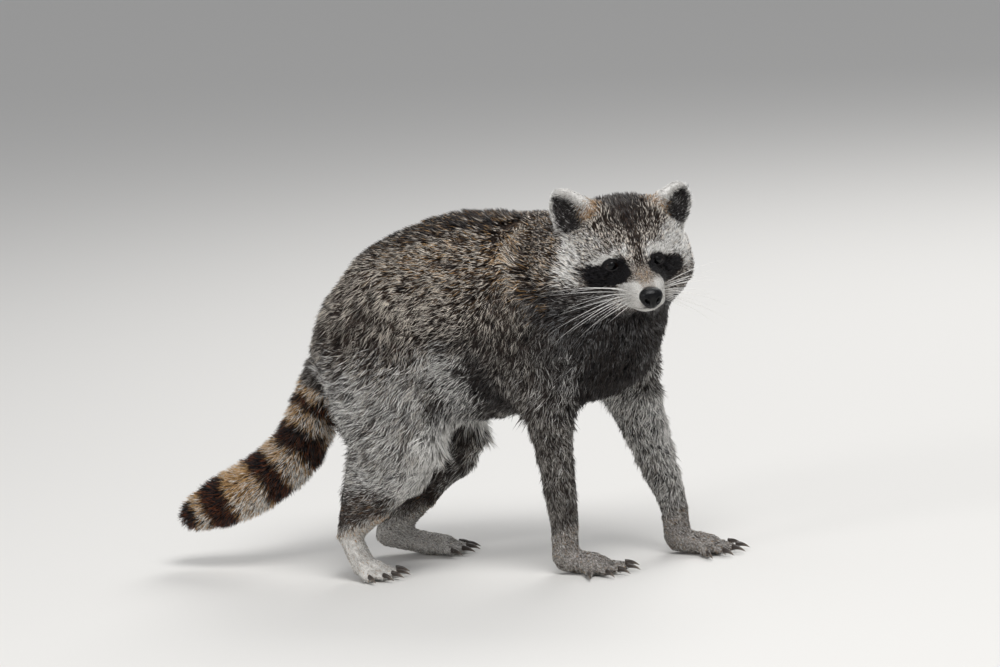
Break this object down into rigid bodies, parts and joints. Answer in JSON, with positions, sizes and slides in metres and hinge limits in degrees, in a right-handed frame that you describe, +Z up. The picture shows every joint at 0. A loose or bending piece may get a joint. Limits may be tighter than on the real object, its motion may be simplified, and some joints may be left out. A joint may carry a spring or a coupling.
{
  "type": "raccoon",
  "caption": "Standing raccoon with a masked face turned to its right, an arched back and a ringed bushy tail held low behind it.",
  "frame": {"origin": "on the ground under the middle of the animal", "axes": "+X towards the chest, +Y the animal's left side, +Z up"},
  "size_m": [0.5396, 0.1992, 0.3454],
  "materials": {
    "grizzled_fur": "coarse guard hair banded dark, pale and tan over grey underfur",
    "pale_fur": "short pale grey fur",
    "white_fur": "very short white fur",
    "ear_fur": "short fur, pale at the rim and dark inside",
    "ring_fur_dark": "long dark brown tail fur",
    "ring_fur_tan": "long tan and grey tail fur",
    "eye": "wet dark brown eye",
    "nose_skin": "moist black nose skin",
    "claw_horn": "dark horn"
  },
  "bodies": {
    "root": {"chest": "grizzled_fur", "belly": "grizzled_fur", "rump": "grizzled_fur", "tail_1": "ring_fur_dark", "tail_2": "ring_fur_tan", "tail_3": "ring_fur_dark", "tail_4": "ring_fur_tan", "tail_5": "ring_fur_dark", "neck": "grizzled_fur", "muzzle": "white_fur", "lower_jaw": "white_fur", "head": "grizzled_fur", "nose": "nose_skin", "eye_right": "eye", "eye_left": "eye", "ear_right": "ear_fur", "ear_left": "ear_fur", "thigh_right": "grizzled_fur", "shank_right": "pale_fur", "foot_right": "pale_fur", "claw_hind_right_1": "claw_horn", "claw_hind_right_2": "claw_horn", "claw_hind_right_3": "claw_horn", "claw_hind_right_4": "claw_horn", "claw_hind_right_5": "claw_horn", "thigh_left": "grizzled_fur", "shank_left": "pale_fur", "foot_left": "pale_fur", "claw_hind_left_1": "claw_horn", "claw_hind_left_2": "claw_horn", "claw_hind_left_3": "claw_horn", "claw_hind_left_4": "claw_horn", "claw_hind_left_5": "claw_horn", "upper_arm_right": "grizzled_fur", "forearm_right": "pale_fur", "hand_right": "pale_fur", "claw_fore_right_1": "claw_horn", "claw_fore_right_2": "claw_horn", "claw_fore_right_3": "claw_horn", "claw_fore_right_4": "claw_horn", "claw_fore_right_5": "claw_horn", "upper_arm_left": "grizzled_fur", "forearm_left": "pale_fur", "hand_left": "pale_fur", "claw_fore_left_1": "claw_horn", "claw_fore_left_2": "claw_horn", "claw_fore_left_3": "claw_horn", "claw_fore_left_4": "claw_horn", "claw_fore_left_5": "claw_horn"}
  },
  "joints": []
}
